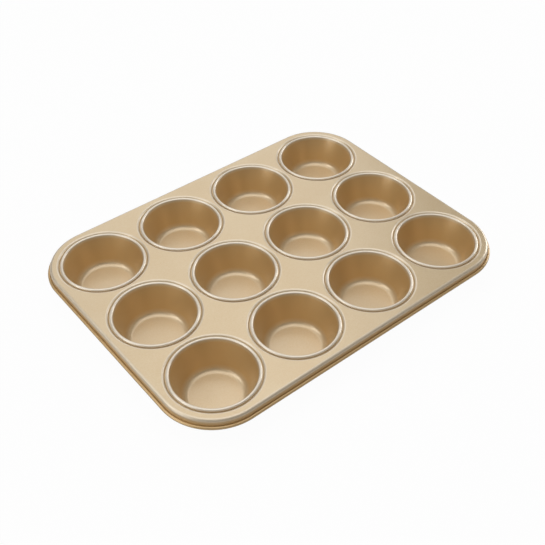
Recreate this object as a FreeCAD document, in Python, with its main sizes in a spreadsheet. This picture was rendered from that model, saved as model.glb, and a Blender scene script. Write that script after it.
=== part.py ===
"""Twelve-cup muffin tin: a pressed frame, a wired hem and twelve cups locked into the frame.

Frame of the part: millimetres, +Z up, X along the four cups of a row, Y along the three rows.
The origin is on the surface the tin stands on, under the middle of the tin.
"""

import FreeCAD, Part
import math
import os

import Sketcher
from FreeCAD import Vector

# Driving sizes in millimetres (counts and angles where the name says so).
SIZES = {
    # cup grid
    "cups_long": 4,             # cups in a row, along X
    "cups_short": 3,            # rows, along Y
    "cup_pitch_long": 83.8,     # cup centre to cup centre along X
    "cup_pitch_short": 83.2,    # cup centre to cup centre along Y
    "web": 0.8,                 # flat plate left between two neighbouring seats
    # sheet
    "gauge": 0.5,               # thickness of every pressed sheet
    "lap": 0.2,                 # flat overlap that merges a formed edge into the plate
    "fit_gap": 0.05,            # clearance between pieces that are rolled together
    # cup
    "plate_height": 28.1,       # top of the plate above the surface the cups stand on
    "floor_flat_radius": 21.4,  # flat middle of the cup floor
    "floor_bend": 5.5,          # inside radius between floor and wall
    "rim_crest": 0.5,           # rolled rim above the plate
    "rim_roll": 1.4,            # outside radius of the rolled rim
    "rim_leg": 0.35,            # straight end of the rim, down outside its collar
    # seat in the frame
    "rim_gap": 0.5,             # rolled rim to the foot of the seat's slope
    "seat_crown": 2.2,          # rounding from the plate into the dip
    "seat_valley": 0.6,         # rounding from the dip into the seat floor
    "seat_slope": 0.1,          # what the straight slope between them adds to the dip's width
    "collar_bend": 0.3,         # inside radius at the root of the collar
    # edge of the frame
    "border": 6.0,              # outer seats to the skirt, at plate level
    "edge_round": 2.5,          # rounding from the plate into the skirt
    "hem_depth": 7.5,           # middle of the rolled hem below the plate
    "hem_setout": 0.25,         # how far the skirt leans out on its way down to the hem
    "hem_end_angle": 115,       # degrees, where the rolled hem straightens beside the skirt
    "hem_tail": 0.2,            # straight end of the rolled hem
    "wire_diameter": 1.7,
}

doc = FreeCAD.newDocument("MuffinTin")
sheet = doc.addObject("Spreadsheet::Sheet", "Sizes")
for line_number, (alias, value) in enumerate(SIZES.items(), start=1):
    sheet.set(f"A{line_number}", alias)
    sheet.set(f"B{line_number}", str(value))
    sheet.setAlias(f"B{line_number}", alias)
doc.recompute()

# Sizes that several pieces share, as expressions over the spreadsheet.
PLATE = "Sizes.plate_height"
CORNER_X = "(Sizes.cups_long - 1) / 2 * Sizes.cup_pitch_long"
CORNER_Y = "(Sizes.cups_short - 1) / 2 * Sizes.cup_pitch_short"
RIM_CENTRE_Z = f"({PLATE} + Sizes.rim_crest - Sizes.rim_roll)"
LEG_END = f"({RIM_CENTRE_Z} - Sizes.rim_leg)"
SEAT_FLOOR = f"({LEG_END} - Sizes.fit_gap - Sizes.collar_bend)"
SEAT_DEPTH = f"({PLATE} - {SEAT_FLOOR})"
SEAT_RADIUS = "(min(Sizes.cup_pitch_long; Sizes.cup_pitch_short) / 2 - Sizes.web / 2)"
DIP_WIDTH = f"(sqrt(2 * (Sizes.seat_crown + Sizes.seat_valley) * {SEAT_DEPTH} - {SEAT_DEPTH} ^ 2)" \
            " + Sizes.seat_slope)"
LEG_FACE = f"({SEAT_RADIUS} - {DIP_WIDTH} - Sizes.rim_gap)"
RIM_RADIUS = f"({LEG_FACE} - Sizes.rim_roll)"
ROLL_BORE = "(Sizes.rim_roll - Sizes.gauge)"
COLLAR_FACE = f"({RIM_RADIUS} + {ROLL_BORE} - Sizes.fit_gap)"
COLLAR_TOP = f"({RIM_CENTRE_Z} + sqrt(2 * {ROLL_BORE} * Sizes.fit_gap - Sizes.fit_gap ^ 2)" \
             " - Sizes.fit_gap)"
EDGE_MARGIN = f"({SEAT_RADIUS} + Sizes.border)"
PLATE_EDGE = f"({EDGE_MARGIN} - Sizes.edge_round - Sizes.lap)"
WIRE_RADIUS = "(Sizes.wire_diameter / 2)"
HEM_BORE = f"({WIRE_RADIUS} + Sizes.fit_gap)"
HEM_MARGIN = f"({EDGE_MARGIN} + Sizes.hem_setout + {HEM_BORE})"
HEM_X = f"({CORNER_X} + {HEM_MARGIN})"
HEM_Z = f"({PLATE} - Sizes.hem_depth)"

LEFT = 1      # a bend that turns left along the path of a sheet section
RIGHT = -1    # a bend that turns right
START = 1     # the sketcher's number for the start of an edge
END = 2       # ... its end
CENTRE = 3    # ... the centre of an arc
ORIGIN = (-1, 1)
V_AXIS = -2


def number(expression):
    """Value of a spreadsheet expression, in millimetres."""
    return float(sheet.evalExpression(expression.replace("Sizes.", "")))


def new_body(name):
    """Empty body whose label is the name of its node."""
    body = doc.addObject("PartDesign::Body", name)
    body.Label = name
    return body


def new_sketch(body, name, plane):
    """Sketch on one of the body's own origin planes."""
    sketch = body.newObject("Sketcher::SketchObject", name)
    origin_plane = [item for item in body.Origin.OriginFeatures if item.Role == plane][0]
    sketch.AttachmentSupport = (origin_plane, [""])
    sketch.MapMode = "FlatFace"
    return sketch


def shift_sketch(sketch, **shifts):
    """Bind the offset of a sketch from its plane, along its own x, y or z."""
    for axis, expression in shifts.items():
        sketch.setExpression(f".AttachmentOffset.Base.{axis}", expression)


def dimension(sketch, name, constraint, expression):
    """Add one dimension and bind it to the spreadsheet."""
    index = sketch.addConstraint(constraint)
    sketch.renameConstraint(index, name)
    sketch.setExpression(f".Constraints.{name}", expression)


def place_point(sketch, name, geometry, position, x, y):
    """Fix one point of the sketch at (x, y), given as expressions."""
    if x == "0":
        sketch.addConstraint(Sketcher.Constraint("PointOnObject", geometry, position, V_AXIS))
    else:
        across = Sketcher.Constraint("DistanceX", *ORIGIN, geometry, position, number(x))
        dimension(sketch, f"{name}_x", across, x)
    upward = Sketcher.Constraint("DistanceY", *ORIGIN, geometry, position, number(y))
    dimension(sketch, f"{name}_y", upward, y)


def path_headings(stops):
    """Directions of the straight runs that touch each stop (centre, signed radius) and the next."""
    headings = []
    for (centre, radius), (next_centre, next_radius) in zip(stops, stops[1:]):
        between = next_centre - centre
        bearing = math.atan2(between.y, between.x)
        headings.append(bearing - math.asin((next_radius - radius) / between.Length))
    return headings


def left_of(heading):
    return Vector(-math.sin(heading), math.cos(heading), 0)


def draw_face(sketch, stops, headings):
    """Draw one face of a sheet section: straight runs joined by tangent bends.

    Returns the run numbers and the bend numbers in the sketch, in path order.
    """
    runs = []
    bends = []
    for index, heading in enumerate(headings):
        normal = left_of(heading)
        ends = [centre - normal * radius for centre, radius in stops[index:index + 2]]
        runs.append(sketch.addGeometry(Part.LineSegment(*ends), False))
    for index, (centre, radius) in enumerate(stops[1:-1]):
        angles = [math.atan2(*(left_of(heading) * -radius)[1::-1])
                  for heading in headings[index:index + 2]]
        if radius < 0:
            angles.reverse()
        circle = Part.Circle(centre, Vector(0, 0, 1), abs(radius))
        bend = sketch.addGeometry(Part.ArcOfCircle(circle, *angles), False)
        enter, leave = (START, END) if radius > 0 else (END, START)
        sketch.addConstraint([
            Sketcher.Constraint("Tangent", runs[index], END, bend, enter),
            Sketcher.Constraint("Tangent", bend, leave, runs[index + 1], START),
        ])
        bends.append(bend)
    return runs, bends


def draw_sheet_section(sketch, start, bends, end):
    """Closed section of a sheet of the given gauge.

    The path follows the sheet's upper face from start to end, both (x, y). Each bend is (turn,
    centre x, centre y, radius of that face). The other face lies to the right of the path.
    """
    start_point = Vector(number(start[0]), number(start[1]), 0)
    end_point = Vector(number(end[0]), number(end[1]), 0)
    centres = [Vector(number(x), number(y), 0) for turn, x, y, radius in bends]
    upper_radii = [turn * number(radius) for turn, x, y, radius in bends]
    lower_radii = [radius + number("Sizes.gauge") for radius in upper_radii]

    upper = [(start_point, 0), *zip(centres, upper_radii), (end_point, 0)]
    headings = path_headings(upper)
    through = number("Sizes.gauge")
    lower = [(start_point - left_of(headings[0]) * through, 0),
             *zip(centres, lower_radii),
             (end_point - left_of(headings[-1]) * through, 0)]
    upper_runs, upper_bends = draw_face(sketch, upper, headings)
    lower_runs, lower_bends = draw_face(sketch, lower, headings)

    for run, point, lower_point, side in ((0, upper[0][0], lower[0][0], START),
                                          (-1, upper[-1][0], lower[-1][0], END)):
        cut = sketch.addGeometry(Part.LineSegment(point, lower_point), False)
        sketch.addConstraint([
            Sketcher.Constraint("Coincident", cut, START, upper_runs[run], side),
            Sketcher.Constraint("Coincident", cut, END, lower_runs[run], side),
            Sketcher.Constraint("Perpendicular", cut, upper_runs[run]),
            Sketcher.Constraint("Parallel", upper_runs[run], lower_runs[run]),
        ])

    place_point(sketch, "start", upper_runs[0], START, *start)
    place_point(sketch, "finish", upper_runs[-1], END, *end)
    for index, (turn, x, y, radius) in enumerate(bends):
        place_point(sketch, f"bend{index}", upper_bends[index], CENTRE, x, y)
        sketch.addConstraint(Sketcher.Constraint(
            "Coincident", lower_bends[index], CENTRE, upper_bends[index], CENTRE))
        lower_radius = f"{radius} {'+' if turn == LEFT else '-'} Sizes.gauge"
        for face, bend, size in (("upper", upper_bends[index], radius),
                                 ("lower", lower_bends[index], lower_radius)):
            constraint = Sketcher.Constraint("Radius", bend, number(size))
            dimension(sketch, f"bend{index}_{face}", constraint, size)


def draw_rounded_rectangle(sketch, margin):
    """Closed outline at a margin from the outer cup centres, with its corners round those centres."""
    radius = number(margin)
    half_x = number(CORNER_X)
    half_y = number(CORNER_Y)
    corners = []
    for quarter, (side_x, side_y) in enumerate(((1, 1), (-1, 1), (-1, -1), (1, -1))):
        circle = Part.Circle(Vector(side_x * half_x, side_y * half_y, 0), Vector(0, 0, 1), radius)
        first_angle = quarter * math.pi / 2
        arc = Part.ArcOfCircle(circle, first_angle, first_angle + math.pi / 2)
        corners.append(sketch.addGeometry(arc, False))
    for corner, next_corner in zip(corners, corners[1:] + corners[:1]):
        leave = sketch.Geometry[corner].EndPoint
        arrive = sketch.Geometry[next_corner].StartPoint
        side = sketch.addGeometry(Part.LineSegment(leave, arrive), False)
        sketch.addConstraint([
            Sketcher.Constraint("Tangent", corner, END, side, START),
            Sketcher.Constraint("Tangent", side, END, next_corner, START),
        ])
    for corner in corners[1:]:
        sketch.addConstraint(Sketcher.Constraint("Equal", corners[0], corner))
    dimension(sketch, "corner_radius", Sketcher.Constraint("Radius", corners[0], radius), margin)
    place_point(sketch, "corner", corners[0], CENTRE, CORNER_X, CORNER_Y)
    sketch.addConstraint([
        Sketcher.Constraint("Symmetric", corners[0], CENTRE, corners[1], CENTRE, V_AXIS),
        Sketcher.Constraint("Symmetric", corners[0], CENTRE, corners[2], CENTRE, *ORIGIN),
        Sketcher.Constraint("Symmetric", corners[2], CENTRE, corners[3], CENTRE, V_AXIS),
    ])


def revolve(body, name, sketch):
    """Full turn of a section about the sketch's own upright axis."""
    feature = body.newObject("PartDesign::Revolution", name)
    feature.Profile = sketch
    feature.ReferenceAxis = (sketch, ["V_Axis"])
    feature.Angle = 360
    return feature


def sweep_round_edge(body, name, section, height, margin):
    """Carry a section round the tin along a rounded rectangle."""
    path = new_sketch(body, f"{name}_path", "XY_Plane")
    shift_sketch(path, z=height)
    draw_rounded_rectangle(path, margin)
    doc.recompute()
    pipe = body.newObject("PartDesign::AdditivePipe", name)
    pipe.Profile = section
    pipe.Spine = path
    return pipe


def add_cup(row, column):
    """One drawn cup: flat floor, tapered wall and a rim rolled out and down over its collar."""
    body = new_body(f"cup_row{row}_col{column}")
    section = new_sketch(body, f"{body.Name}_section", "XZ_Plane")
    draw_sheet_section(
        section,
        start=("0", "Sizes.gauge"),
        bends=[
            (LEFT, "Sizes.floor_flat_radius", "Sizes.gauge + Sizes.floor_bend", "Sizes.floor_bend"),
            (RIGHT, RIM_RADIUS, RIM_CENTRE_Z, "Sizes.rim_roll"),
        ],
        end=(LEG_FACE, LEG_END),
    )
    revolve(body, f"{body.Name}_turned", section)
    body.setExpression(".Placement.Base.x",
                       f"({column} - (Sizes.cups_long + 1) / 2) * Sizes.cup_pitch_long")
    body.setExpression(".Placement.Base.y",
                       f"((Sizes.cups_short + 1) / 2 - {row}) * Sizes.cup_pitch_short")
    return body


def add_plate(body):
    """Flat middle of the frame, up to where its edge starts to turn down."""
    outline = new_sketch(body, "plate_outline", "XY_Plane")
    shift_sketch(outline, z=PLATE)
    draw_rounded_rectangle(outline, PLATE_EDGE)
    plate = body.newObject("PartDesign::Pad", "plate")
    plate.Profile = outline
    plate.setExpression(".Length", "Sizes.gauge")
    plate.Reversed = True


def add_edge(body):
    """Rounded edge, skirt and the hem that is rolled outwards round the wire."""
    section = new_sketch(body, "edge_section", "XZ_Plane")
    crown_x = f"{CORNER_X} + {EDGE_MARGIN} - Sizes.edge_round"
    finish = "Sizes.hem_end_angle * 1 deg"
    draw_sheet_section(
        section,
        start=(f"{CORNER_X} + {PLATE_EDGE}", PLATE),
        bends=[
            (RIGHT, crown_x, f"{PLATE} - Sizes.edge_round", "Sizes.edge_round"),
            (LEFT, HEM_X, HEM_Z, HEM_BORE),
        ],
        end=(f"{HEM_X} + {HEM_BORE} * cos({finish}) - Sizes.hem_tail * sin({finish})",
             f"{HEM_Z} + {HEM_BORE} * sin({finish}) + Sizes.hem_tail * cos({finish})"),
    )
    sweep_round_edge(body, "edge", section, PLATE, PLATE_EDGE)


def add_seats(body):
    """A round seat with an upturned collar for every cup, cut and formed at the first, then spread."""
    hole_outline = new_sketch(body, "seat_hole_outline", "XY_Plane")
    shift_sketch(hole_outline, x=f"-{CORNER_X}", y=CORNER_Y, z=PLATE)
    seat_end = f"{SEAT_RADIUS} + Sizes.lap"
    circle = Part.Circle(Vector(0, 0, 0), Vector(0, 0, 1), number(seat_end))
    edge = hole_outline.addGeometry(circle, False)
    hole_outline.addConstraint(Sketcher.Constraint("Coincident", edge, CENTRE, *ORIGIN))
    dimension(hole_outline, "hole_radius",
              Sketcher.Constraint("Radius", edge, number(seat_end)), seat_end)
    doc.recompute()
    hole = body.newObject("PartDesign::Pocket", "seat_hole")
    hole.Profile = hole_outline
    hole.setExpression(".Length", "Sizes.gauge")

    section = new_sketch(body, "seat_section", "XZ_Plane")
    shift_sketch(section, x=f"-{CORNER_X}", z=f"-{CORNER_Y}")
    draw_sheet_section(
        section,
        start=(COLLAR_FACE, COLLAR_TOP),
        bends=[
            (LEFT, f"{COLLAR_FACE} + Sizes.collar_bend", f"{SEAT_FLOOR} + Sizes.collar_bend",
             "Sizes.collar_bend"),
            (LEFT, f"{SEAT_RADIUS} - {DIP_WIDTH}", f"{SEAT_FLOOR} + Sizes.seat_valley",
             "Sizes.seat_valley"),
            (RIGHT, SEAT_RADIUS, f"{PLATE} - Sizes.seat_crown", "Sizes.seat_crown"),
        ],
        end=(seat_end, PLATE),
    )
    seat = revolve(body, "seat", section)
    doc.recompute()

    pattern = body.newObject("PartDesign::MultiTransform", "seat_pattern")
    pattern.Originals = [hole, seat]
    steps = []
    for name, role, count, pitch in (("along_row", "X_Axis", "cups_long", "cup_pitch_long"),
                                     ("across_rows", "Y_Axis", "cups_short", "cup_pitch_short")):
        step = body.newObject("PartDesign::LinearPattern", name)
        axis = [item for item in body.Origin.OriginFeatures if item.Role == role][0]
        step.Direction = (axis, [""])
        step.Reversed = role == "Y_Axis"
        step.setExpression(".Length", f"(Sizes.{count} - 1) * Sizes.{pitch}")
        step.setExpression(".Occurrences", f"Sizes.{count}")
        steps.append(step)
    pattern.Transformations = steps
    body.Tip = pattern


def add_frame():
    """The one-piece top sheet that carries the twelve cups."""
    body = new_body("tray_frame")
    add_plate(body)
    add_edge(body)
    doc.recompute()
    add_seats(body)
    return body


def add_wire():
    """Closed wire inside the rolled hem."""
    body = new_body("rim_wire")
    section = new_sketch(body, "wire_section", "XZ_Plane")
    centre = Vector(number(HEM_X), number(HEM_Z), 0)
    circle = Part.Circle(centre, Vector(0, 0, 1), number(WIRE_RADIUS))
    edge = section.addGeometry(circle, False)
    place_point(section, "wire", edge, CENTRE, HEM_X, HEM_Z)
    dimension(section, "wire_radius",
              Sketcher.Constraint("Radius", edge, number(WIRE_RADIUS)), WIRE_RADIUS)
    sweep_round_edge(body, "wire", section, HEM_Z, HEM_MARGIN)
    return body


def check_document(pieces):
    """Stop if any feature failed or any piece isn't one valid closed solid."""
    for item in doc.Objects:
        if "Invalid" in item.State or "Error" in item.State:
            raise RuntimeError(f"{item.Name} failed: {item.State}")
    for piece in pieces:
        shape = piece.Shape
        if shape.isNull() or not shape.isValid() or len(shape.Solids) != 1:
            raise RuntimeError(f"{piece.Label} isn't one valid solid")


pieces = [add_frame(), add_wire()]
for row in range(1, int(number("Sizes.cups_short")) + 1):
    for column in range(1, int(number("Sizes.cups_long")) + 1):
        pieces.append(add_cup(row, column))
doc.recompute()
check_document(pieces)

os.makedirs("parts", exist_ok=True)
for piece in pieces:
    piece.Shape.exportStep(f"parts/{piece.Label}.step")
    print(piece.Label, "volume", round(piece.Shape.Volume, 1), "mm3")
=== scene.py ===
"""Looks of a twelve-cup muffin tin: pressed frame, rolled hem and twelve drawn cups.

Lengths in the classes are millimetres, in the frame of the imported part: +Z up, X along the four cups
of a row, origin in the middle of the surface that the cup floors stand on. They become metres only
when a mesh, a lamp or the camera is made.
"""

import logging
import math
from collections.abc import Iterable, Mapping
from dataclasses import dataclass
from enum import Enum

import bmesh
import bpy
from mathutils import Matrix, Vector

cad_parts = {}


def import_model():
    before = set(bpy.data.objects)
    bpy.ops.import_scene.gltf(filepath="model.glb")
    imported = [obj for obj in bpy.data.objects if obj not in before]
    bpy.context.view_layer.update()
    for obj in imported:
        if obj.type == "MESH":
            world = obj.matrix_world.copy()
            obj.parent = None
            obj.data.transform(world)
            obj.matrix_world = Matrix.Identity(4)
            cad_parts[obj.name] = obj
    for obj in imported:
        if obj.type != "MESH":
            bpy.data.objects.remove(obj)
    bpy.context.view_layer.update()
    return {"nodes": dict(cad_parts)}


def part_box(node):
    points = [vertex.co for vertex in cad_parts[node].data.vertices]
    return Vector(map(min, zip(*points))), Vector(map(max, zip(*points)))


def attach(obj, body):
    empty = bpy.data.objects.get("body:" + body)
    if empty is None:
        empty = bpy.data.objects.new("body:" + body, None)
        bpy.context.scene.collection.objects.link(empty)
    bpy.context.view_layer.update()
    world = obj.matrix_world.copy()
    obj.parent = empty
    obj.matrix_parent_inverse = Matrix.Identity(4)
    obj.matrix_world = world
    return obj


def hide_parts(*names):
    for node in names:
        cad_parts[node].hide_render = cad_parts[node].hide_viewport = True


LOG = logging.getLogger("muffin_tin")
MM = 0.001                          # metres in a millimetre
BODY = "root"                       # nothing on the tin moves
ARC_STEP = math.radians(7.5)        # longest stretch of a bend between two points of a section
SUPPORT = 0.25                      # mm, keeps the shading of a flat from bleeding into a bend
SHARP = math.radians(40)            # edges that turn more than this stay crisp
WELD = 1e-6                         # m, points closer than this are one point
BEND = "bend"                       # attribute, 1/mm: how tightly the sheet bends, outwards positive
FINEST_BEND = 0.0625                # mm, points closer than this don't count as a tighter bend
MIX_A, MIX_B, MIX_RESULT = 6, 7, 2  # colour sockets of a Mix node


class Turn(Enum):
    """Which way a sheet bends, seen along the path of its section."""

    LEFT = 1
    RIGHT = -1


@dataclass(frozen=True)
class Bend:
    """One bend of a sheet: its centre and the radius of the face that the path follows."""

    turn: Turn
    across: float
    height: float
    radius: float


@dataclass(frozen=True)
class SheetSection:
    """Section of a pressed sheet: straight runs joined by tangent bends, of one thickness.

    The path follows the upper face from start to finish. The other face lies to its right.
    """

    start: tuple[float, float]
    bends: tuple[Bend, ...]
    finish: tuple[float, float]
    gauge: float

    def _headings(self) -> list[float]:
        """Work out the directions of the straight runs.

        Returns:
            The directions in radians, in path order.
        """
        stops = [(Vector(self.start), 0.0)]
        stops += [(Vector((b.across, b.height)), b.turn.value * b.radius) for b in self.bends]
        stops += [(Vector(self.finish), 0.0)]
        headings = []
        for (centre, radius), (next_centre, next_radius) in zip(stops, stops[1:]):
            between = next_centre - centre
            bearing = math.atan2(between.y, between.x)
            headings.append(bearing - math.asin((next_radius - radius) / between.length))
        return headings

    def face(self, depth: float) -> list[Vector]:
        """Points along the sheet at a depth below its upper face.

        Args:
            depth: 0 for the upper face, the gauge for the other one.

        Returns:
            The points in path order, as (across, height) in millimetres.
        """
        headings = self._headings()
        normals = [Vector((-math.sin(a), math.cos(a))) for a in headings]
        points = [Vector(self.start) - normals[0] * depth]
        for index, bend in enumerate(self.bends):
            reach = bend.turn.value * bend.radius + depth
            centre = Vector((bend.across, bend.height))
            sweep = (headings[index + 1] - headings[index]) % (bend.turn.value * math.tau)
            steps = max(2, math.ceil(abs(sweep) / ARC_STEP))
            for step in range(steps + 1):
                angle = headings[index] + sweep * step / steps
                points.append(centre + Vector((math.sin(angle), -math.cos(angle))) * reach)
        points.append(Vector(self.finish) - normals[-1] * depth)
        return self._with_supports(points)

    @staticmethod
    def _with_supports(points: list[Vector]) -> list[Vector]:
        """Add a point close to each end of every long run of a line.

        Args:
            points: the line.

        Returns:
            The same line, with the points added.
        """
        line = [points[0]]
        for here, there in zip(points, points[1:]):
            run = there - here
            if run.length > 4 * SUPPORT:
                step = run.normalized() * SUPPORT
                line += [here + step, there - step]
            line.append(there)
        return line

    def outline(self) -> list[Vector]:
        """Both faces as one line: along the upper face and back along the other."""
        return self.face(0.0) + self.face(self.gauge)[::-1]


@dataclass(frozen=True)
class TinSizes:
    """Sizes of the tin that its pieces share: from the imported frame, and of its sheet and bends."""

    pitch_long: float
    pitch_short: float
    rows: int
    columns: int
    plate_height: float
    rim_outside: float
    rim_top: float
    edge_outside: float
    gauge: float = 0.5
    web: float = 0.8
    fit_gap: float = 0.05
    floor_flat_radius: float = 21.4
    floor_bend: float = 5.5
    rim_roll: float = 1.4
    rim_leg: float = 0.35
    seat_crown: float = 2.2
    seat_valley: float = 0.6
    collar_bend: float = 0.3
    rim_gap: float = 0.5
    border: float = 6.0
    edge_round: float = 2.5
    hem_depth: float = 7.5
    hem_end: float = math.radians(115)
    hem_tail: float = 0.2
    wire_radius: float = 0.85

    @classmethod
    def from_frame(cls, nodes: Iterable[str]) -> "TinSizes":
        """Read the cup grid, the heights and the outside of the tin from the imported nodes.

        Args:
            nodes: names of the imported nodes.

        Returns:
            The sizes, in millimetres.
        """
        cups = [name for name in nodes if name.startswith("cup_")]
        rows = max(int(name[len("cup_row")]) for name in cups)
        columns = len(cups) // rows
        first = box_mm("cup_row1_col1")
        beside = box_mm("cup_row1_col2")
        below = box_mm("cup_row2_col1")
        tray = box_mm("tray_frame")
        pitch_long = beside[0].x - first[0].x
        return cls(
            pitch_long=pitch_long,
            pitch_short=first[0].y - below[0].y,
            rows=rows,
            columns=columns,
            plate_height=tray[1].z,
            rim_outside=(first[1].x - first[0].x) / 2,
            rim_top=first[1].z,
            edge_outside=tray[1].x - (columns - 1) / 2 * pitch_long,
        )

    @property
    def rim_middle(self) -> tuple[float, float]:
        """Centre of the rolled rim's bend: radius from the cup's axis, and height."""
        return self.rim_outside - self.rim_roll, self.rim_top - self.rim_roll

    @property
    def leg_end(self) -> float:
        """Height at which the rolled rim ends."""
        return self.rim_middle[1] - self.rim_leg

    @property
    def seat_floor(self) -> float:
        """Height of the floor of the dip round each cup."""
        return self.leg_end - self.fit_gap - self.collar_bend

    @property
    def seat_radius(self) -> float:
        """Radius at which the plate starts to dip."""
        return (min(self.pitch_long, self.pitch_short) - self.web) / 2

    @property
    def hem_bore(self) -> float:
        """Inside radius of the rolled hem."""
        return self.wire_radius + self.fit_gap

    def cup_centre(self, row: int, column: int) -> Vector:
        """Axis of a cup, counted from 1, row 1 at +Y and column 1 at -X."""
        return Vector((
            (column - (self.columns + 1) / 2) * self.pitch_long,
            ((self.rows + 1) / 2 - row) * self.pitch_short,
        ))


def box_mm(node: str) -> tuple[Vector, Vector]:
    """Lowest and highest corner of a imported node, in millimetres."""
    low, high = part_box(node)
    return low / MM, high / MM


def spin_section(mesh: bmesh.types.BMesh, line: list[Vector], centre: Vector, steps: int) -> None:
    """Turn a section line into a surface about an upright axis.

    Args:
        mesh: mesh that the surface is added to.
        line: (radius, height) points, in millimetres.
        centre: (x, y) of the axis, in millimetres.
        steps: divisions of the full turn.
    """
    verts = [mesh.verts.new(((centre.x + p.x) * MM, centre.y * MM, p.y * MM)) for p in line]
    edges = [mesh.edges.new(pair) for pair in zip(verts, verts[1:])]
    bmesh.ops.spin(
        mesh,
        geom=verts + edges,
        cent=(centre.x * MM, centre.y * MM, 0),
        axis=(0, 0, 1),
        angle=math.tau,
        steps=steps,
        use_merge=True,
    )


def mark_bends(mesh: bmesh.types.BMesh) -> None:
    """Store at every point how tightly the sheet bends there, for the coat's painted highlight and
    shade.

    Args:
        mesh: the finished shape, with its faces outwards.
    """
    layer = mesh.verts.layers.float.new(BEND)
    for vert in mesh.verts:
        tightest = 0.0
        for edge in vert.link_edges:
            if not edge.is_manifold:
                continue
            one, other = (face.calc_center_median() for face in edge.link_faces)
            stretch = max((one - other).length / MM, FINEST_BEND)
            tightest = max(tightest, edge.calc_face_angle_signed(0.0) / stretch, key=abs)
        vert[layer] = tightest


def finish_mesh(mesh: bmesh.types.BMesh, name: str) -> bpy.types.Object:
    """Close a mesh, turn its faces outwards, mark its crisp edges and link its object.

    Args:
        mesh: the finished shape; it is freed.
        name: name of the piece.

    Returns:
        The new object, at the origin, riding on the tin's only body.
    """
    bmesh.ops.remove_doubles(mesh, verts=mesh.verts[:], dist=WELD)
    bmesh.ops.dissolve_degenerate(mesh, edges=mesh.edges[:], dist=WELD)
    bmesh.ops.recalc_face_normals(mesh, faces=mesh.faces[:])
    for face in mesh.faces:
        face.smooth = True
    for edge in mesh.edges:
        edge.smooth = edge.is_manifold and edge.calc_face_angle(0.0) < SHARP
    mark_bends(mesh)
    open_edges = sum(not edge.is_manifold for edge in mesh.edges)
    data = bpy.data.meshes.new(name)
    mesh.to_mesh(data)
    mesh.free()
    piece = bpy.data.objects.new(name, data)
    bpy.context.scene.collection.objects.link(piece)
    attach(piece, BODY)
    LOG.info("%s: %d faces, %d open edges", name, len(data.polygons), open_edges)
    return piece


@dataclass
class DrawnCup:
    """One cup, drawn from its own disc: flat floor, tapered wall and a rim rolled over its collar."""

    sizes: TinSizes
    row: int
    column: int
    steps: int = 128

    @property
    def node(self) -> str:
        """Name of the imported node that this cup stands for."""
        return f"cup_row{self.row}_col{self.column}"

    def section(self) -> SheetSection:
        """Lay out the half section of the cup.

        Returns:
            The section, from the middle of the floor to the end of the rolled rim.
        """
        sizes = self.sizes
        across, height = sizes.rim_middle
        return SheetSection(
            start=(0.0, sizes.gauge),
            bends=(
                Bend(Turn.LEFT, sizes.floor_flat_radius, sizes.gauge + sizes.floor_bend,
                     sizes.floor_bend),
                Bend(Turn.RIGHT, across, height, sizes.rim_roll),
            ),
            finish=(sizes.rim_outside, sizes.leg_end),
            gauge=sizes.gauge,
        )

    def build(self, finish: bpy.types.Material) -> bpy.types.Object:
        """Spin the cup and dress it.

        Args:
            finish: material of the coated sheet.

        Returns:
            The cup's object.
        """
        mesh = bmesh.new()
        centre = self.sizes.cup_centre(self.row, self.column)
        spin_section(mesh, self.section().outline(), centre, self.steps)
        piece = finish_mesh(mesh, f"drawn_{self.node}")
        piece.data.materials.append(finish)
        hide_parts(self.node)
        return piece


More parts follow.
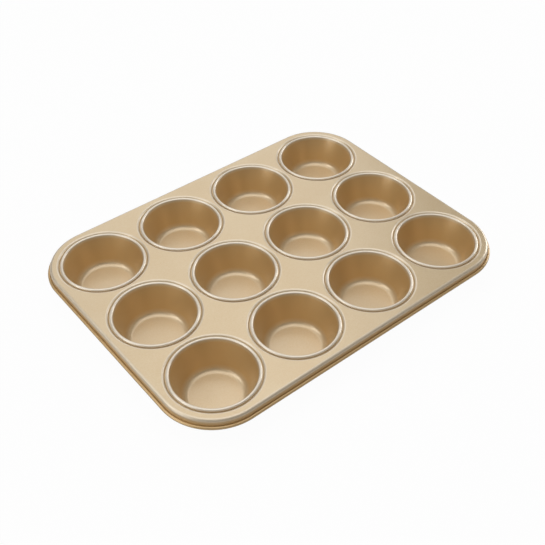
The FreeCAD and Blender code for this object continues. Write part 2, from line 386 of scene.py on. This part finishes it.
@dataclass
class PressedFrame:
    """The top sheet: flat plate, a dipped seat with a collar for every cup, skirt and rolled hem."""

    sizes: TinSizes
    steps: int = 96
    node: str = "tray_frame"

    @property
    def hem_margin(self) -> float:
        """Outer cup centres to the middle of the rolled hem."""
        return self.sizes.edge_outside - self.sizes.hem_bore - self.sizes.gauge

    @property
    def plate_margin(self) -> float:
        """Outer cup centres to where the plate starts to turn down."""
        return self.sizes.seat_radius + self.sizes.border - self.sizes.edge_round

    def seat_section(self) -> SheetSection:
        """Lay out the section of the dip round a cup.

        Returns:
            The section, from the top of the collar down, out and up to the plate.
        """
        sizes = self.sizes
        collar = sizes.rim_outside - sizes.gauge - sizes.fit_gap
        bore = sizes.rim_roll - sizes.gauge
        lean = math.sqrt(bore ** 2 - (bore - sizes.fit_gap) ** 2)
        collar_top = sizes.rim_middle[1] + lean - sizes.fit_gap
        return SheetSection(
            start=(collar, collar_top),
            bends=(
                Bend(Turn.LEFT, collar + sizes.collar_bend,
                     sizes.seat_floor + sizes.collar_bend, sizes.collar_bend),
                Bend(Turn.LEFT, sizes.rim_outside + sizes.rim_gap,
                     sizes.seat_floor + sizes.seat_valley, sizes.seat_valley),
                Bend(Turn.RIGHT, sizes.seat_radius,
                     sizes.plate_height - sizes.seat_crown, sizes.seat_crown),
            ),
            finish=(sizes.seat_radius + SUPPORT, sizes.plate_height),
            gauge=sizes.gauge,
        )

    def edge_section(self) -> SheetSection:
        """Lay out the section of the frame's edge.

        Returns:
            The section, from the plate down the skirt and round the wire of the hem.
        """
        sizes = self.sizes
        hem_height = sizes.plate_height - sizes.hem_depth
        along = Vector((-math.sin(sizes.hem_end), math.cos(sizes.hem_end)))
        outwards = Vector((math.cos(sizes.hem_end), math.sin(sizes.hem_end)))
        finish = Vector((self.hem_margin, hem_height))
        finish += outwards * sizes.hem_bore + along * sizes.hem_tail
        return SheetSection(
            start=(self.plate_margin - SUPPORT, sizes.plate_height),
            bends=(
                Bend(Turn.RIGHT, self.plate_margin, sizes.plate_height - sizes.edge_round,
                     sizes.edge_round),
                Bend(Turn.LEFT, self.hem_margin, hem_height, sizes.hem_bore),
            ),
            finish=tuple(finish),
            gauge=sizes.gauge,
        )

    def cell_point(self, row: int, column: int, angle: float) -> Vector:
        """Point on the outline of the piece of plate that belongs to one cup.

        Neighbouring cells get the same points on the side they share. The outer corner of a corner
        cell is round, about the cup's own axis, as the edge of the tin is.

        Args:
            row: row of the cup, from 1.
            column: column of the cup, from 1.
            angle: direction from the cup's axis, in radians.

        Returns:
            The point relative to the cup's axis, in millimetres.
        """
        sizes = self.sizes
        edge = self.plate_margin - SUPPORT
        east = edge if column == sizes.columns else sizes.pitch_long / 2
        west = edge if column == 1 else sizes.pitch_long / 2
        north = edge if row == 1 else sizes.pitch_short / 2
        south = edge if row == sizes.rows else sizes.pitch_short / 2
        cosine, sine = math.cos(angle), math.sin(angle)
        reach_x = east if cosine > 0 else west
        reach_y = north if sine > 0 else south
        if reach_x == edge and reach_y == edge:
            return Vector((cosine, sine)) * edge
        return Vector((cosine * reach_x, sine * reach_y)) / max(abs(cosine), abs(sine))

    def build_cell(self, row: int, column: int) -> bpy.types.Mesh:
        """Spin the seat of one cup and join it to its piece of plate, above and below.

        Args:
            row: row of the cup, from 1.
            column: column of the cup, from 1.

        Returns:
            The cell, open along the outline of its two plate faces.
        """
        cell = bmesh.new()
        centre = self.sizes.cup_centre(row, column)
        section = self.seat_section()
        spin_section(cell, section.face(0.0)[::-1] + section.face(section.gauge), centre, self.steps)
        bmesh.ops.remove_doubles(cell, verts=cell.verts[:], dist=WELD)
        seat_rims = [edge for edge in cell.edges if edge.is_boundary]
        grown = bmesh.ops.extrude_edge_only(cell, edges=seat_rims)["geom"]
        for vert in (item for item in grown if isinstance(item, bmesh.types.BMVert)):
            out = vert.co.to_2d() / MM - centre
            place = centre + self.cell_point(row, column, math.atan2(out.y, out.x))
            vert.co.xy = place * MM
        data = bpy.data.meshes.new(f"cell_row{row}_col{column}")
        cell.to_mesh(data)
        cell.free()
        return data

    def edge_place(self, place: Vector, margin: float, height: float) -> Vector:
        """Move a point of the plate's outline straight out to a margin from the outer cup centres.

        Args:
            place: the point, in metres.
            margin: new distance from the rectangle through the outer cup centres, in millimetres.
            height: new height, in millimetres.

        Returns:
            The new point, in metres.
        """
        corner = self.sizes.cup_centre(1, self.sizes.columns) * MM
        root = Vector((
            max(-corner.x, min(corner.x, place.x)),
            max(-corner.y, min(corner.y, place.y)),
        ))
        outwards = (place.to_2d() - root).normalized()
        return (root + outwards * margin * MM).to_3d() + Vector((0, 0, height * MM))

    def add_edge(self, mesh: bmesh.types.BMesh) -> None:
        """Draw the rim of the plate out and down along the edge section, and back underneath.

        Args:
            mesh: mesh whose open outline is the plate's, above and below.
        """
        top = self.sizes.plate_height * MM
        edges = [e for e in mesh.edges
                 if e.is_boundary and abs(e.verts[0].co.z - top) < SUPPORT / 2 * MM]
        for point in self.edge_section().outline()[1:]:
            grown = bmesh.ops.extrude_edge_only(mesh, edges=edges)["geom"]
            edges = [item for item in grown if isinstance(item, bmesh.types.BMEdge)]
            for vert in (item for item in grown if isinstance(item, bmesh.types.BMVert)):
                vert.co = self.edge_place(vert.co, point.x, point.y)

    def build(self, finish: bpy.types.Material) -> bpy.types.Object:
        """Make the frame and dress it.

        Args:
            finish: material of the coated sheet.

        Returns:
            The frame's object.
        """
        mesh = bmesh.new()
        for row in range(1, self.sizes.rows + 1):
            for column in range(1, self.sizes.columns + 1):
                cell = self.build_cell(row, column)
                mesh.from_mesh(cell)
                bpy.data.meshes.remove(cell)
        bmesh.ops.remove_doubles(mesh, verts=mesh.verts[:], dist=WELD)
        self.add_edge(mesh)
        piece = finish_mesh(mesh, "pressed_tray_frame")
        piece.data.materials.append(finish)
        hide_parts(self.node)
        return piece


def srgb(code: str) -> tuple[float, float, float, float]:
    """Turn an sRGB colour into the linear colour that a shader takes.

    Args:
        code: the colour as "#RRGGBB".

    Returns:
        Red, green, blue and alpha, linear.
    """
    channels = [int(code[i:i + 2], 16) / 255 for i in (1, 3, 5)]
    linear = [c / 12.92 if c <= 0.04045 else ((c + 0.055) / 1.055) ** 2.4 for c in channels]
    return (*linear, 1.0)


def add_node(tree: bpy.types.NodeTree, kind: str, inputs: Mapping[object, object] | None = None,
             **settings: object) -> bpy.types.Node:
    """Add one shader node.

    Args:
        tree: node tree of a material or the world.
        kind: type name of the node.
        inputs: a value, or an output socket to link from, for each input by name or number.
        **settings: values of the node's own properties.

    Returns:
        The new node.
    """
    node = tree.nodes.new(kind)
    for name, value in settings.items():
        setattr(node, name, value)
    for name, value in (inputs or {}).items():
        if isinstance(value, bpy.types.NodeSocket):
            tree.links.new(value, node.inputs[name])
        else:
            node.inputs[name].default_value = value
    return node


@dataclass(frozen=True)
class NonStickCoat:
    """Champagne-gold non-stick coat, sprayed on pressed steel and baked.

    Fine metal pigment in the coat gives a soft metallic sheen with a faint sparkle, and its clear
    surface a pale gloss. Spraying leaves a slight orange peel and small changes of tone from place
    to place. Over the bends of the top face its colour is made paler as a painted highlight, and in
    creases and on the walls, skirt and hem deeper gold as painted shade.
    """

    name: str
    light: str = "#DAC49F"
    dark: str = "#D4BB93"
    painted_highlight: str = "#F3EBDD"       # painted highlight over the bends of the top face
    painted_highlight_share: float = 0.7
    painted_highlight_bend: tuple[float, float] = (0.1, 0.7)         # 1/mm, from none of it to all of it
    painted_crease_shade: str = "#A67C40"     # painted shade in creases
    painted_crease_shade_share: float = 0.8
    painted_crease_shade_bend: tuple[float, float] = (-0.3, -1.5)     # 1/mm
    painted_wall_shade: str = "#D2AF78"      # painted shade on walls, skirt and hem
    wall_foot: tuple[float, float] = (2.5, 6.5)         # mm, heights between which the painted wall shade sets in
    wall_head: tuple[float, float] = (25.0, 27.0)       # mm, heights between which the painted wall shade ends
    metallic: float = 0.45      # between paint and bare metal, for metal pigment in a clear binder
    roughness: float = 0.38
    roughness_spread: float = 0.05
    gloss: float = 1.0          # clear surface of the baked coat
    gloss_roughness: float = 0.22
    grain: float = 1.1          # mm, drawn coarser than the real clusters of 0.3 mm, so that it shows
    cloud: float = 45.0         # mm, slow changes of tone from spraying
    peel: float = 1.6           # mm, orange peel
    peel_depth: float = 0.004   # mm

    def _colour(self, tree: bpy.types.NodeTree, place: bpy.types.NodeSocket,
                grain: bpy.types.NodeSocket) -> bpy.types.NodeSocket:
        """Mix the coat's colour: clouds, grain, painted shade on walls and in creases, painted
        highlight on top bends.

        Args:
            tree: node tree of the material.
            place: where a point lies on the tin.
            grain: the pigment's grain.

        Returns:
            The colour.
        """
        cloud = add_node(tree, "ShaderNodeTexNoise", {
            "Vector": place, "Scale": 1 / (self.cloud * MM), "Detail": 3.0, "Roughness": 0.5})
        tone = add_node(tree, "ShaderNodeMath", {0: grain, 1: cloud.outputs["Fac"]}, operation="ADD")
        tone = add_node(tree, "ShaderNodeMapRange", {
            "Value": tone.outputs[0], "From Min": 0.75, "From Max": 1.25})
        bend = add_node(tree, "ShaderNodeAttribute", attribute_name=BEND).outputs["Fac"]
        height = add_node(tree, "ShaderNodeSeparateXYZ", {"Vector": place}).outputs["Z"]
        top, foot = (add_node(tree, "ShaderNodeMapRange", {
            "Value": height, "From Min": low * MM, "From Max": high * MM}).outputs["Result"]
            for low, high in (self.wall_head, self.wall_foot))
        # painted shade: deeper gold on the cup walls, skirt and hem, between the foot and head heights
        walls = add_node(tree, "ShaderNodeMath", {0: foot, 1: top}, operation="SUBTRACT")
        # painted highlight: paler, near-white colour over the outward bends of the top face, above the
        # walls
        highlight_mask = add_node(tree, "ShaderNodeMapRange", {
            "Value": bend, "From Min": self.painted_highlight_bend[0], "From Max": self.painted_highlight_bend[1],
            "To Max": self.painted_highlight_share})
        highlight_mask = add_node(tree, "ShaderNodeMath", {
            0: highlight_mask.outputs["Result"], 1: top}, operation="MULTIPLY")
        # painted shade: deeper, darker gold where the sheet bends inwards, in the creases
        crease_shade_mask = add_node(tree, "ShaderNodeMapRange", {
            "Value": bend, "From Min": self.painted_crease_shade_bend[0], "From Max": self.painted_crease_shade_bend[1],
            "To Max": self.painted_crease_shade_share})
        colour = srgb(self.dark)
        for share, over in ((tone, self.light), (walls, self.painted_wall_shade), (highlight_mask, self.painted_highlight),
                            (crease_shade_mask, self.painted_crease_shade)):
            colour = add_node(tree, "ShaderNodeMix", {
                "Factor": share.outputs[0], MIX_A: colour, MIX_B: srgb(over)},
                data_type="RGBA").outputs[MIX_RESULT]
        return colour

    def build(self) -> bpy.types.Material:
        """Make the material.

        Returns:
            The material.
        """
        material = bpy.data.materials.new(self.name)
        material.use_nodes = True
        tree = material.node_tree
        tree.nodes.clear()
        place = add_node(tree, "ShaderNodeTexCoord").outputs["Object"]
        grain = add_node(tree, "ShaderNodeTexNoise", {
            "Vector": place, "Scale": 1 / (self.grain * MM), "Detail": 2.0, "Roughness": 0.6})
        peel = add_node(tree, "ShaderNodeTexNoise", {
            "Vector": place, "Scale": 1 / (self.peel * MM), "Detail": 1.0, "Roughness": 0.4})
        roughness = add_node(tree, "ShaderNodeMapRange", {
            "Value": grain.outputs["Fac"], "From Min": 0.3, "From Max": 0.7,
            "To Min": self.roughness - self.roughness_spread,
            "To Max": self.roughness + self.roughness_spread})
        bump = add_node(tree, "ShaderNodeBump", {
            "Height": peel.outputs["Fac"], "Strength": 1.0, "Distance": self.peel_depth * MM})
        shader = add_node(tree, "ShaderNodeBsdfPrincipled", {
            "Base Color": self._colour(tree, place, grain.outputs["Fac"]),
            "Metallic": self.metallic,
            "Roughness": roughness.outputs["Result"],
            "Coat Weight": self.gloss,
            "Coat Roughness": self.gloss_roughness,
            "Normal": bump.outputs["Normal"]})
        add_node(tree, "ShaderNodeOutputMaterial", {"Surface": shader.outputs["BSDF"]})
        return material


@dataclass(frozen=True)
class DrawnWire:
    """Bright drawn steel wire, with fine lines from the die and a grey film of oil."""

    name: str
    light: str = "#A9A9AA"
    dark: str = "#8C8C8E"
    line_pitch: float = 0.6     # mm, die lines drawn coarser than the real ones so that they show
    roughness: tuple[float, float] = (0.25, 0.4)

    def build(self) -> bpy.types.Material:
        """Make the material.

        Returns:
            The material.
        """
        material = bpy.data.materials.new(self.name)
        material.use_nodes = True
        tree = material.node_tree
        tree.nodes.clear()
        place = add_node(tree, "ShaderNodeTexCoord").outputs["Object"]
        lines = add_node(tree, "ShaderNodeTexNoise", {
            "Vector": place, "Scale": 1 / (self.line_pitch * MM), "Detail": 2.0})
        colour = add_node(tree, "ShaderNodeMix", {
            "Factor": lines.outputs["Fac"], MIX_A: srgb(self.dark), MIX_B: srgb(self.light)},
            data_type="RGBA")
        roughness = add_node(tree, "ShaderNodeMapRange", {
            "Value": lines.outputs["Fac"], "To Min": self.roughness[0],
            "To Max": self.roughness[1]})
        shader = add_node(tree, "ShaderNodeBsdfPrincipled", {
            "Base Color": colour.outputs[MIX_RESULT], "Metallic": 1.0,
            "Roughness": roughness.outputs["Result"]})
        add_node(tree, "ShaderNodeOutputMaterial", {"Surface": shader.outputs["BSDF"]})
        return material


@dataclass(frozen=True)
class Softbox:
    """A square studio lamp that points at the middle of the tin."""

    name: str
    bearing: float      # degrees from +X towards +Y
    elevation: float    # degrees above the floor
    distance: float     # m
    side: float         # m
    power: float        # W

    def build(self) -> bpy.types.Object:
        """Make the lamp. The camera doesn't see its panel, gloss does.

        Returns:
            The lamp's object.
        """
        lamp = bpy.data.lights.new(self.name, "AREA")
        lamp.shape = "SQUARE"
        lamp.size = self.side
        lamp.energy = self.power
        stand = bpy.data.objects.new(self.name, lamp)
        bearing, elevation = math.radians(self.bearing), math.radians(self.elevation)
        stand.location = Vector((
            math.cos(elevation) * math.cos(bearing),
            math.cos(elevation) * math.sin(bearing),
            math.sin(elevation),
        )) * self.distance
        stand.rotation_euler = (-stand.location).to_track_quat("-Z", "Y").to_euler()
        stand.visible_camera = False
        bpy.context.scene.collection.objects.link(stand)
        return stand


@dataclass(frozen=True)
class Studio:
    """White floor, soft lamps and the camera."""

    lamps: tuple[Softbox, ...] = (
        Softbox("overhead_softbox", 0, 90, 1.5, 1.8, 9.5),
        Softbox("overhead_key", 0, 90, 1.5, 0.45, 2.5),
        Softbox("back_softbox", 60, 40, 1.8, 1.2, 4.5),
        Softbox("left_softbox", 150, 45, 1.8, 0.9, 6.0),
        Softbox("low_left_softbox", 180, 18, 1.8, 0.9, 4.5),
        Softbox("low_right_softbox", 0, 18, 1.8, 0.9, 9.0),
    )
    floor_side: float = 40.0        # m
    floor_gap: float = 0.1          # mm, keeps the floor clear of the faces that stand on it
    floor_segments: int = 8
    floor_paint: str = "#DADADA"
    floor_white: float = 0.97       # share of the floor that the camera sees as plain white
    backdrop_in_gloss: float = 0.1  # how much of that white shows in gloss and through glass
    world_level: float = 0.1        # strength of the even light from all round
    camera_place: tuple[float, float, float] = (-0.3693, -0.4559, 0.5478)
    camera_target: tuple[float, float, float] = (-0.0181, -0.0231, 0.0278)
    lens: float = 57.357            # mm, on a sensor 36 mm wide
    sensor: float = 36.0

    def _backdrop_share(self, tree: bpy.types.NodeTree) -> bpy.types.NodeSocket:
        """Find how much of the plain white backdrop a ray shows.

        Args:
            tree: node tree of the floor's material or the world.

        Returns:
            1 for rays to the camera, and a little for those in gloss and through glass.
        """
        path = add_node(tree, "ShaderNodeLightPath")
        beyond = add_node(tree, "ShaderNodeMath", {
            0: path.outputs["Is Glossy Ray"], 1: path.outputs["Is Transmission Ray"]},
            operation="MAXIMUM")
        dimmed = add_node(tree, "ShaderNodeMath", {
            0: beyond.outputs[0], 1: self.backdrop_in_gloss}, operation="MULTIPLY")
        share = add_node(tree, "ShaderNodeMath", {
            0: path.outputs["Is Camera Ray"], 1: dimmed.outputs[0]}, operation="MAXIMUM")
        return share.outputs[0]

    def build_floor(self) -> bpy.types.Object:
        """Lay the floor under the tin, at the height its cups stand on.

        Returns:
            The floor's object.
        """
        mesh = bmesh.new()
        bmesh.ops.create_grid(mesh, x_segments=self.floor_segments,
                              y_segments=self.floor_segments, size=self.floor_side / 2)
        bmesh.ops.translate(mesh, verts=mesh.verts, vec=(0, 0, -self.floor_gap * MM))
        data = bpy.data.meshes.new("floor")
        mesh.to_mesh(data)
        mesh.free()
        floor = bpy.data.objects.new("floor", data)
        bpy.context.scene.collection.objects.link(floor)
        material = bpy.data.materials.new("studio_floor")
        material.use_nodes = True
        tree = material.node_tree
        tree.nodes.clear()
        paint = add_node(tree, "ShaderNodeBsdfDiffuse", {"Color": srgb(self.floor_paint)})
        white = add_node(tree, "ShaderNodeEmission", {"Color": srgb("#FFFFFF"), "Strength": 1.0})
        share = add_node(tree, "ShaderNodeMath", {
            0: self._backdrop_share(tree), 1: self.floor_white}, operation="MULTIPLY")
        surface = add_node(tree, "ShaderNodeMixShader", {
            0: share.outputs[0], 1: paint.outputs[0], 2: white.outputs[0]})
        add_node(tree, "ShaderNodeOutputMaterial", {"Surface": surface.outputs[0]})
        data.materials.append(material)
        return floor

    def build_world(self) -> None:
        """Dim, even light from all round, with a white background for the camera."""
        world = bpy.data.worlds.new("studio")
        bpy.context.scene.world = world
        world.use_nodes = True
        tree = world.node_tree
        tree.nodes.clear()
        room = add_node(tree, "ShaderNodeBackground", {
            "Color": srgb("#FFFFFF"), "Strength": self.world_level})
        white = add_node(tree, "ShaderNodeBackground", {"Color": srgb("#FFFFFF"), "Strength": 1.0})
        light = add_node(tree, "ShaderNodeMixShader", {
            0: self._backdrop_share(tree), 1: room.outputs[0], 2: white.outputs[0]})
        add_node(tree, "ShaderNodeOutputWorld", {"Surface": light.outputs[0]})

    def build_camera(self) -> bpy.types.Object:
        """Set up the camera and make it the scene's.

        Returns:
            The camera's object.
        """
        data = bpy.data.cameras.new("camera")
        data.sensor_width = self.sensor
        data.lens = self.lens
        camera = bpy.data.objects.new("camera", data)
        camera.location = self.camera_place
        aim = Vector(self.camera_target) - camera.location
        camera.rotation_euler = aim.to_track_quat("-Z", "Y").to_euler()
        bpy.context.scene.collection.objects.link(camera)
        bpy.context.scene.camera = camera
        return camera

    def build(self) -> None:
        """Set up the whole studio."""
        bpy.context.scene.view_settings.view_transform = "Standard"
        self.build_floor()
        self.build_world()
        for lamp in self.lamps:
            lamp.build()
        self.build_camera()


def main() -> None:
    """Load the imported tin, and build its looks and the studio."""
    logging.basicConfig(level=logging.INFO)
    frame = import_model()
    sizes = TinSizes.from_frame(frame["nodes"])
    LOG.info("sizes: %s", sizes)

    frame_coat = NonStickCoat("sprayed_non_stick_coat").build()
    cup_coat = NonStickCoat("sprayed_non_stick_coat_cups").build()
    PressedFrame(sizes).build(frame_coat)
    for row in range(1, sizes.rows + 1):
        for column in range(1, sizes.columns + 1):
            DrawnCup(sizes, row, column).build(cup_coat)

    wire = frame["nodes"]["rim_wire"]
    wire.data.materials.clear()
    wire.data.materials.append(DrawnWire("drawn_steel_wire").build())
    LOG.info("rim_wire: shape of the packed node, dressed as drawn steel")

    Studio().build()


if __name__ == "__main__":
    main()
